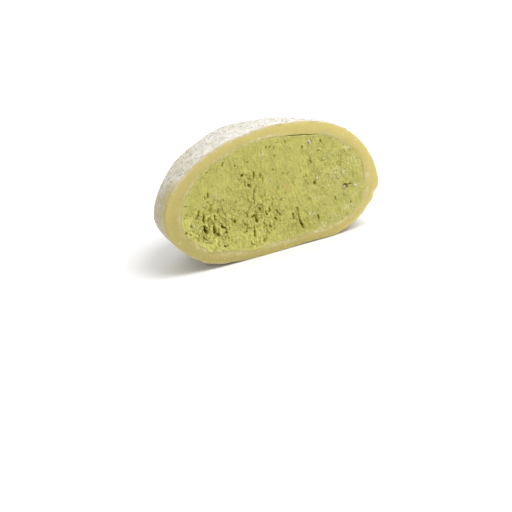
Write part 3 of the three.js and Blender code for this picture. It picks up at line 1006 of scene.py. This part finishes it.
def raised_flakes(x, z):
    """Height of thin ridges of filling that the knife pushed up, leaning every way."""
    rng = np.random.default_rng(RAISED["seed"])
    tries = RAISED["count"] * 3
    at_x, at_z = rng.uniform(*FACE_X, tries), rng.uniform(*FACE_Z, tries)
    kept = np.flatnonzero(rng.uniform(0, 1, tries) < crumbled(at_x, at_z) + 0.1)[: RAISED["count"]]
    width = rng.uniform(*RAISED["half_width"], tries)
    length = width * rng.uniform(2.5, 7.5, tries)
    high = rng.uniform(*RAISED["high"], tries) * (0.3 + 0.7 * crumbled(at_x, at_z))
    turn = rng.normal(math.pi / 2, 0.7, tries)
    height = np.zeros(len(x))
    for k in kept:
        near = (np.abs(x - at_x[k]) < 2 * length[k]) & (np.abs(z - at_z[k]) < 2 * length[k])
        dx, dz = x[near] - at_x[k], z[near] - at_z[k]
        along = (dx * math.cos(turn[k]) + dz * math.sin(turn[k])) / length[k]
        across = (dz * math.cos(turn[k]) - dx * math.sin(turn[k])) / width[k]
        bump = high[k] * np.exp(-(along**2) - across**2)
        height[near] = np.maximum(height[near], bump)
    return height


def torn_depth(x, z):
    """Depth of the face behind the cut, in mm, and how hollow it is there, which becomes painted
    shade, and below 0 on a ridge, which becomes a painted highlight. Slow waves, lines dragged down
    the face, chunks and grain add up, and tears are cut in."""
    flat = np.stack([x, np.zeros(len(x)), z], -1)
    crumb = crumbled(x, z)
    slow = 0.10 * hills(flat, 5.5, 41) + 0.05 * hills(flat, 2.4, 42)
    drag = 0.10 * np.abs(hills(flat, (0.65, 1, 3.4), 43)) + 0.07 * hills(flat, (0.36, 1, 1.5), 44)
    drag *= 0.7 + 0.8 * spots(x, z, [DRAGGED])
    bent_x = x + 0.16 * hills(flat, 0.7, 49) + 0.09 * hills(flat, 0.33, 54)
    bent_z = z + 0.26 * hills(flat, 0.9, 50) + 0.12 * hills(flat, 0.4, 56)
    large, large_gap = chunks(bent_x, bent_z * 0.6, 1.25, 0.5, 45)
    small, small_gap = chunks(bent_x, bent_z * 0.7, 0.55, 0.7, 46)
    opened = smooth(-0.05, 0.45, hills(flat, (1.5, 1, 2.0), 51))
    cleft = 0.50 * opened * (1 - smooth(0.02, 0.18, large_gap))
    crack = 0.28 * smooth(-0.1, 0.4, hills(flat, 1.1, 52)) * (1 - smooth(0.02, 0.22, small_gap))
    broken = crumb * (0.28 * large + cleft) + (0.3 + 0.7 * crumb) * (0.14 * small + crack)
    fine = 0.035 * hills(flat, (0.34, 1, 0.55), 47) + 0.03 * hills(flat, (0.22, 1, 0.3), 48)
    grain = (0.75 + 0.75 * crumb) * fine
    torn, lips = tear_depth(bent_x, bent_z, TEARS)
    nicks, _ = tear_depth(bent_x, bent_z, scattered_tears())
    lips *= smooth(-0.3, 0.3, hills(flat, 0.6, 53)) * (0.4 + 0.6 * crumb)
    ridges = np.maximum(raised_flakes(bent_x, bent_z), lips)
    depth = 0.02 + slow + drag + broken + grain + np.maximum(torn, nicks) - ridges
    # Painted shade in tears, nicks, clefts, cracks and dragged lines, and a painted highlight on
    # ridges.
    hollow = torn + 0.5 * nicks + crumb * cleft + 0.5 * crack - 1.2 * ridges + 0.8 * (drag - 0.04)
    # Painted light on the crumbs by the foot.
    return depth, hollow - 0.14 * spots(x, z, FOOT_PAINTED_LIGHT)


middle_depth = torn_depth(np.zeros(1), np.full(1, CENTRE[2]))[0][0]
print(f"In its middle the face lies {middle_depth:.2f} mm behind the cut")

# %% [markdown]
# Ice cream scatters light strongly and has no gloss. Its colour is the pale green of milk with
# tea powder, with a painted highlight on raised flakes and painted shade, darker and more olive,
# inside the tears. The piece carries how hollow the face is at each point, which the material
# turns into painted shade and highlight.

# %% Filling material
GREEN_LIGHT = (0.460, 0.435, 0.112, 1)
GREEN_MAIN = (0.398, 0.377, 0.094, 1)
GREEN_PAINTED_HIGHLIGHT = (0.61, 0.585, 0.165, 1)
GREEN_PAINTED_SHADE = (0.39, 0.350, 0.022, 1)
GREEN_DEEP_PAINTED_SHADE = (0.17, 0.13, 0.002, 1)
GREEN_PALE = (0.62, 0.60, 0.36, 1)
TEA_RUST = (0.50, 0.26, 0.10, 1)
GRIT_DARK, GRIT_LIGHT = (0.9, 0.9, 0.88, 1), (1.1, 1.1, 1.12, 1)  # the green is multiplied by them


def filling_colour(nodes, place, _):
    """Mottled green with fine grit, milky and rusty specks, a painted highlight on ridges and
    painted shade in hollows.
    """
    colour = mottled(nodes, place, GREEN_MAIN, GREEN_LIGHT, 520.0, 0.16)
    grit = mottled(nodes, place, GRIT_DARK, GRIT_LIGHT, 4800.0, 0.12)
    colour = nodes.mix(1.0, colour, grit, "MULTIPLY")
    speckle = nodes.ramp(nodes.noise(place, 2600.0, 1.0), 0.42, 0.66)
    colour = nodes.mix(nodes.times(speckle, nodes.attribute("milky")), colour, GREEN_PALE)
    colour = nodes.mix(nodes.attribute("rust"), colour, TEA_RUST)
    hollow = nodes.attribute("hollow")
    # Painted highlight on ridges, painted shade in hollows and deeper painted shade in deep tears.
    colour = nodes.mix(nodes.ramp(hollow, -0.02, -0.30), colour, GREEN_PAINTED_HIGHLIGHT)
    colour = nodes.mix(nodes.ramp(hollow, 0.0, 0.42), colour, GREEN_PAINTED_SHADE)
    return nodes.mix(nodes.ramp(hollow, 0.50, 1.60), colour, GREEN_DEEP_PAINTED_SHADE)


green_finish = finish(
    "green_tea_ice_cream",
    filling_colour,
    grain=(3600, 0.45, 0.0001),
    Subsurface_Weight=0.2,
    Subsurface_Radius=(0.9, 0.8, 0.15),
    Subsurface_Scale=0.0005,
    Specular_IOR_Level=0.25,
    Roughness=0.72,
)
print(f"{green_finish.name} has {len(green_finish.node_tree.nodes)} nodes")

# %% [markdown]
# The filling's own mesh: the torn face is a disc grid stretched to the filling's outline, and
# its hidden back follows the bowl in the dough. Along the top right the frozen filling has come
# away from the dough, so there the outline draws in and leaves a dark slit.

# %% Filling shape
FACE_CELLS = (380, 200)
WALL_SHARES = (0.99, 0.94, 0.85, 0.72, 0.58, 0.44, 0.30, 0.15)
TUCK = 0.03  # mm that the filling reaches into the dough, so that no gap shows
SPILL, SPILL_HIGH = 0.36, 0.13  # mm that loose filling reaches over the dough, and stands up
SPILLS = [(-14.5, 3.8, 3.0), (-19.6, 8.5, 2.5), (-20.5, 12.5, 2.0)]
WALL_PAINTED_SHADE = 0.3  # painted shade on the hidden wall, as much as in a shallow hollow
FROST_SPOTS = [
    # x, z and radius in mm
    (-0.8, 20.9, 0.5), (0, 15.3, 0.35), (-12.1, 14.9, 0.6), (-9.5, 14.3, 0.5), (17.8, 17.6, 0.6),
    (19.2, 15.1, 0.7), (17.9, 14.5, 0.5), (19.6, 13.8, 0.5), (14.8, 13.9, 0.7), (17.3, 5.6, 0.7),
    (19, 9.4, 0.6), (-18.3, 10, 0.4), (8.8, 5.8, 0.4), (-12.3, 9.2, 0.35), (10.5, 3, 0.7),
    (13.2, 3.9, 0.8), (16, 5.4, 0.8), (18.2, 7.6, 0.7), (14.9, 12.3, 1), (13.1, 10.8, 0.6),
    (16.9, 12.8, 0.6),
]
RUST_SPOTS = [
    # x, z and radius in mm
    (-1.4, 20.1, 0.28), (3, 15.9, 0.3), (3.5, 13.1, 0.4), (4.2, 12.6, 0.3), (21.05, 13.2, 0.28),
    (21, 12.5, 0.28), (20.95, 11.8, 0.28), (20.9, 11.1, 0.28), (20.8, 10.4, 0.25),
    (20.6, 9.5, 0.25),
]


def filling_wall(p, q):
    """Points of the filling's outside for disc points, a hair inside the dough or drawn in."""
    points = touched(surface(INSIDE, p, q), INNER_TOUCHES)
    return points + unit(points - CENTRE) * (TUCK - drawn_in(points))[:, None]


def torn_face(p, q, rim, loose):
    """The face's points and how hollow each is. A disc point's angle picks a place on the rim,
    its radius is the way out to it, and close to the rim the tears calm down. Loose filling
    spills over the dough there."""
    r, angle = np.hypot(p, q), np.arctan2(q, p)
    border = grid_border(*FACE_CELLS)
    rim_x, rim_z, over = (
        np.interp(angle, angle[border], values, period=2 * math.pi)
        for values in (rim[:, 0], rim[:, 2], SPILL_HIGH * loose)
    )
    x = CENTRE[0] + (rim_x - CENTRE[0]) * r
    z = CENTRE[2] + (rim_z - CENTRE[2]) * r
    depth, hollow = torn_depth(x, z)
    calm = smooth(0.96, 1.0, r)
    depth = depth * (1 - calm) + (np.clip(depth - 0.06, -0.05, 0.01) - over) * calm
    return np.stack([x, depth, z], -1), hollow


def ice_cream():
    """The filling's points, faces and attributes, from the torn face down its wall to the back."""
    p, q = disc_grid(*FACE_CELLS)
    border = grid_border(*FACE_CELLS)
    rim = filling_wall(p[border], q[border])
    loose = smooth(0.0, 0.5, hills(rim, 0.9, 55)) * spots(rim[:, 0], rim[:, 2], SPILLS)
    rim = rim + unit(rim - CENTRE) * (SPILL * loose)[:, None]
    face, hollow = torn_face(p, q, rim, loose)
    rows, row_points = [border], []
    for k, share in enumerate(WALL_SHARES):
        row_points.append(filling_wall(p[border] * share, q[border] * share))
        rows.append(len(face) + k * len(border) + np.arange(len(border)))
    tip = filling_wall(np.zeros(1), np.zeros(1))
    points = np.concatenate([face, *row_points, tip])
    wall = [bands(rows), fan(rows[-1], len(points) - 1)]
    faces = [grid_quads(*FACE_CELLS)] + [array[:, ::-1] for array in wall]
    x, _, z = face.T
    hidden = np.zeros(len(points) - len(face))
    # Painted shade on the hidden wall, darker behind the slits.
    shaded = hidden + WALL_PAINTED_SHADE
    shaded[:-1] += np.tile(in_slit(rim), len(WALL_SHARES))
    milky = 0.09 * smooth(2, 14, x) + 0.04 + 0.8 * spots(x, z, FROST_SPOTS)
    milky += 0.28 * smooth(0.94, 1.0, np.hypot(p, q))
    attributes = {
        "hollow": np.concatenate([hollow, shaded]),
        "rust": np.concatenate([spots(x, z, RUST_SPOTS) * 0.55, hidden]),
        "milky": np.concatenate([milky, hidden]),
    }
    slot = "green_tea_ice_cream"
    piece = add_piece("ice_cream_filling", points, faces, green_finish, slot, **attributes)
    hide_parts("ice_cream")


ice_cream()

# %% [markdown]
# Grains, crumbs and crystals are all small uneven lumps. Each could be an object of its own, but
# thousands of objects are slow. Here all lumps of one kind are one mesh: a ball of twenty faces
# is copied to every place, with its corners pushed in and out.

# %% Scattered lumps
def ball(subdivisions):
    """Corners and faces of a small round ball: 20 faces for one subdivision and 80 for two."""
    shape = bmesh.new()
    bmesh.ops.create_icosphere(shape, subdivisions=subdivisions, radius=1)
    corners = np.array([corner.co for corner in shape.verts])
    faces = np.array([[corner.index for corner in face.verts] for face in shape.faces])
    shape.free()
    return corners, faces


def lumps(middles, radii, rng, subdivisions=1, uneven=0.25, outward=None, flat=0):
    """Lumps of given radii round given middles. Each corner of a ball is moved in or out at
    random, each ball is stretched along its own axes, and turned by a random rotation. With
    outward, the share flat of a lump's height in that direction is taken away."""
    corners, faces = ball(subdivisions)
    count = len(middles)
    shape = corners * rng.uniform(1 - uneven, 1 + uneven, (count, len(corners), 1))
    shape *= rng.uniform(0.65, 1.25, (count, 1, 3)) * radii[:, None, None]
    turns = np.linalg.qr(rng.normal(size=(count, 3, 3)))[0]
    turns *= np.sign(np.linalg.det(turns))[:, None, None]
    shape = shape @ turns
    if outward is not None:
        height = (shape * outward[:, None]).sum(-1, keepdims=True)
        shape = shape - flat * height * outward[:, None]
    points = middles[:, None] + shape
    first = np.arange(count)[:, None, None] * len(corners)
    return points.reshape(-1, 3), (faces + first).reshape(-1, 3)


def mostly_small(radius, count, rng):
    """Random radii between two, by the square of an even share, so that most are small."""
    return radius[0] + (radius[1] - radius[0]) * rng.uniform(0, 1, count) ** 2


def sprinkled(points, faces, weights, values, count, rng):
    """Random places on a mesh, as many per area as the weights of its points say, with the
    direction out of the mesh and the mean of some values there."""
    a, b, c, d = (points[faces[:, k]] for k in range(4))
    facing = facing_of(points, faces)
    area = np.linalg.norm(facing, axis=1)
    share = area * weights[faces].mean(1)
    chosen = rng.choice(len(faces), count, p=share / share.sum())
    s, t = rng.uniform(0, 1, (2, count, 1))
    low = a[chosen] * (1 - s) + b[chosen] * s
    high = d[chosen] * (1 - s) + c[chosen] * s
    outward = facing[chosen] / area[chosen, None]
    return low * (1 - t) + high * t, outward, values[faces[chosen]].mean(1)


print(f"A lump has {len(ball(1)[1])} faces")

# %% [markdown]
# Starch is loose potato flour. It clings to the sticky dough in grains and small clumps, which
# give the outside its rough outline and throw tiny shadows. A displaced surface alone can't
# undercut like that, so thousands of small lumps are half sunk in it, thickest on the crown.

# %% Loose starch
POWDER = {"count": 9000, "radius": (0.05, 0.14), "flat": 0.2, "seed": 61}
CLUMPS = {"count": 1800, "radius": (0.16, 0.44), "flat": 0.7, "seed": 62}
RIM_STARCH = {"count": 900, "radius": (0.05, 0.14), "spread": 0.14, "seed": 63}


def starch_colour(nodes, place, _):
    """The powder tone, by how thick the coat is where a lump lies."""
    return nodes.group(POWDER_TONE, Place=place, Thickness=nodes.attribute("starch"))


def add_starch(name, count, radius, flat, seed):
    """Grains or clumps strewn over the outside, more where the coat is thick, and smaller where
    it is thin."""
    rng = np.random.default_rng(seed)
    weights = skin_cover**1.5 * (0.35 + 0.65 * smooth(-0.3, 0.4, hills(skin_points, 1.6, seed)))
    places, outward, cover = sprinkled(skin_points, skin_faces, weights, skin_cover, count, rng)
    radii = mostly_small(radius, count, rng)
    radii *= (0.6 + 0.4 * cover) * (1 - 0.15 * smooth(21, 25, places[:, 2]))
    middles = places + outward * (radii * (1 - flat) * rng.uniform(-0.1, 0.6, count))[:, None]
    middles[:, 2] = np.maximum(middles[:, 2], radii * 1.6)
    points, faces = lumps(middles, radii, rng, outward=outward, flat=flat)
    starch = np.repeat(cover + rng.uniform(-0.25, 0.35, count), len(points) // count)
    add_piece(name, points, [faces], white_finish, "rice_starch", starch=starch)


def add_rim_starch():
    """Small lumps along the knife's edge, where the coat broke off and fell onto the cut."""
    rng = np.random.default_rng(RIM_STARCH["seed"])
    rim = skin_points[grid_border(*OUTSIDE_CELLS)]
    chosen = rim[rng.integers(0, len(rim), RIM_STARCH["count"])]
    patchy = smooth(9, 21, chosen[:, 2]) * smooth(0.0, 0.5, hills(chosen, 1.8, 64))
    chosen = chosen[rng.uniform(0, 1, len(chosen)) < patchy]
    inward = unit((CENTRE - chosen) * (1, 0, 1))
    radii = rng.uniform(*RIM_STARCH["radius"], len(chosen))
    middles = chosen + inward * rng.exponential(RIM_STARCH["spread"], (len(chosen), 1))
    middles[:, 1] = rng.uniform(-0.08, 0.1, len(chosen))
    points, faces = lumps(middles, radii, rng)
    starch = np.full(len(points), 0.7)
    add_piece("rim_starch", points, [faces], white_finish, "rice_starch", starch=starch)


look = {"Roughness": 0.95, "Specular_IOR_Level": 0.2}
white_finish = finish("loose_starch", starch_colour, grain=(6000, 0.3, 0.00006), **look)
add_starch("starch_powder", **POWDER)
add_starch("starch_clumps", **CLUMPS)
add_rim_starch()

# %% [markdown]
# Frost grew a few ice crystals in the filling. Clear glass would look dark in the pits, so they
# are milky, with a little light passing through. The large ones sit where a real cut shows them,
# in pits of their own, and small ones are strewn over the right half.

# %% Ice crystals
CRYSTALS = [
    # x, z, radius and how far it is sunk in mm
    (16.15, 9.5, 0.6, 0.3), (10.4, 13.1, 0.27, -0.08), (9.8, 21.1, 0.3, -0.1),
    (9.9, 20.6, 0.27, -0.1), (18.6, 9.4, 0.28, -0.08), (12.6, 16.6, 0.17, 0), (9.4, 8.9, 0.16, 0),
    (7.6, 6.1, 0.25, -0.06), (8.8, 5.8, 0.18, -0.04), (14.2, 3.9, 0.2, 0), (-18, 10.1, 0.24, -0.12),
    (-0.8, 20.9, 0.15, 0), (19.2, 15.1, 0.17, 0),
]
FINE_CRYSTALS = {"count": 30, "radius": (0.05, 0.11), "x": (-8, 20), "z": (4, 22), "seed": 71}
ICE_WHITE, ICE_GREY = (0.82, 0.80, 0.63, 1), (0.62, 0.60, 0.43, 1)
ICE_DULL = (0.40, 0.37, 0.22, 1)


def ice_colour(nodes, place, _):
    """Milky ice in two tones, and duller where a crystal is large."""
    clear = mottled(nodes, place, ICE_WHITE, ICE_GREY, 1800.0, 0.15)
    return nodes.mix(nodes.attribute("dull"), clear, ICE_DULL)


def add_crystals():
    """The named crystals, and small ones, more of them to the right."""
    rng = np.random.default_rng(FINE_CRYSTALS["seed"])
    named = np.array(CRYSTALS)
    tries = FINE_CRYSTALS["count"] * 3
    x, z = (rng.uniform(*FINE_CRYSTALS[axis], tries) for axis in "xz")
    kept = rng.uniform(0, 1, tries) < 0.1 + 0.5 * smooth(0, 14, x)
    radii = np.concatenate([named[:, 2], rng.uniform(*FINE_CRYSTALS["radius"], kept.sum())])
    x, z = np.concatenate([named[:, 0], x[kept]]), np.concatenate([named[:, 1], z[kept]])
    sunk = np.concatenate([named[:, 3], np.zeros(kept.sum())])
    depth = np.minimum(torn_depth(x, z)[0], 0.3) + sunk
    middles = np.stack([x, depth - radii * 0.15, z], -1)
    points, faces = lumps(middles, radii, rng, 2, 0.1)
    dull = np.repeat(smooth(0.28, 0.55, radii), len(points) // len(radii))
    look = {"Roughness": 0.3, "IOR": 1.31, "Transmission_Weight": 0.2}
    ice = finish("ice_crystal", ice_colour, grain=(5000, 0.4, 0.00008), **look)
    add_piece("ice_crystals", points, [faces], ice, "ice_crystal", dull=dull)


add_crystals()

# %% [markdown]
# Other loose matter lies on the cut as well. Crumbs of filling fell into the pits and onto the
# dough below, and the knife carried specks of starch onto the bare ring. They could be part of the
# face, but as lumps of their own they throw small shadows and can stand free.

# %% Crumbs and specks
CRUMBS = {"count": 420, "radius": (0.09, 0.26), "x": (-20.4, 19), "z": (2.4, 22), "seed": 72}
RING_SPECKS = [
    # x, z and radius in mm
    (20.1, 18.7, 0.16), (1.4, 25.7, 0.13), (0.7, 26.1, 0.11), (-21.7, 7.4, 0.13),
    (-12.4, 1.7, 0.14), (-13.2, 1.2, 0.12), (-17.5, 3.3, 0.1), (12.6, 24.1, 0.1),
]
SPECK_SEED = 73


def add_crumbs():
    """Crumbs of filling, most of them where the face is crumbled, and some over its rim."""
    rng = np.random.default_rng(CRUMBS["seed"])
    tries = CRUMBS["count"] * 4
    x, z = (rng.uniform(*CRUMBS[axis], tries) for axis in "xz")
    kept = np.flatnonzero(rng.uniform(0, 1, tries) < crumbled(x, z) ** 1.5)[: CRUMBS["count"]]
    x, z = x[kept], z[kept]
    radii = mostly_small(CRUMBS["radius"], len(x), rng)
    middles = np.stack([x, np.minimum(torn_depth(x, z)[0], 0.5) + radii * 0.1, z], -1)
    points, faces = lumps(middles, radii, rng, 1, 0.3)
    nothing = np.zeros(len(points))
    # A little painted highlight on the crumbs.
    attributes = {"hollow": nothing - 0.06, "rust": nothing, "milky": nothing + 0.1}
    slot = "green_tea_ice_cream"
    add_piece("filling_crumbs", points, [faces], green_finish, slot, **attributes)


def add_ring_specks():
    """Specks of starch at named places of the bare dough."""
    rng = np.random.default_rng(SPECK_SEED)
    named = np.array(RING_SPECKS)
    middles = np.stack([named[:, 0], np.full(len(named), -0.1), named[:, 1]], -1)
    points, faces = lumps(middles, named[:, 2], rng)
    starch = np.full(len(points), 0.9)
    add_piece("ring_specks", points, [faces], white_finish, "rice_starch", starch=starch)


add_crumbs()
add_ring_specks()

# %% [markdown] The starch may reach a hair past the packed solids, as it would on a real cake.
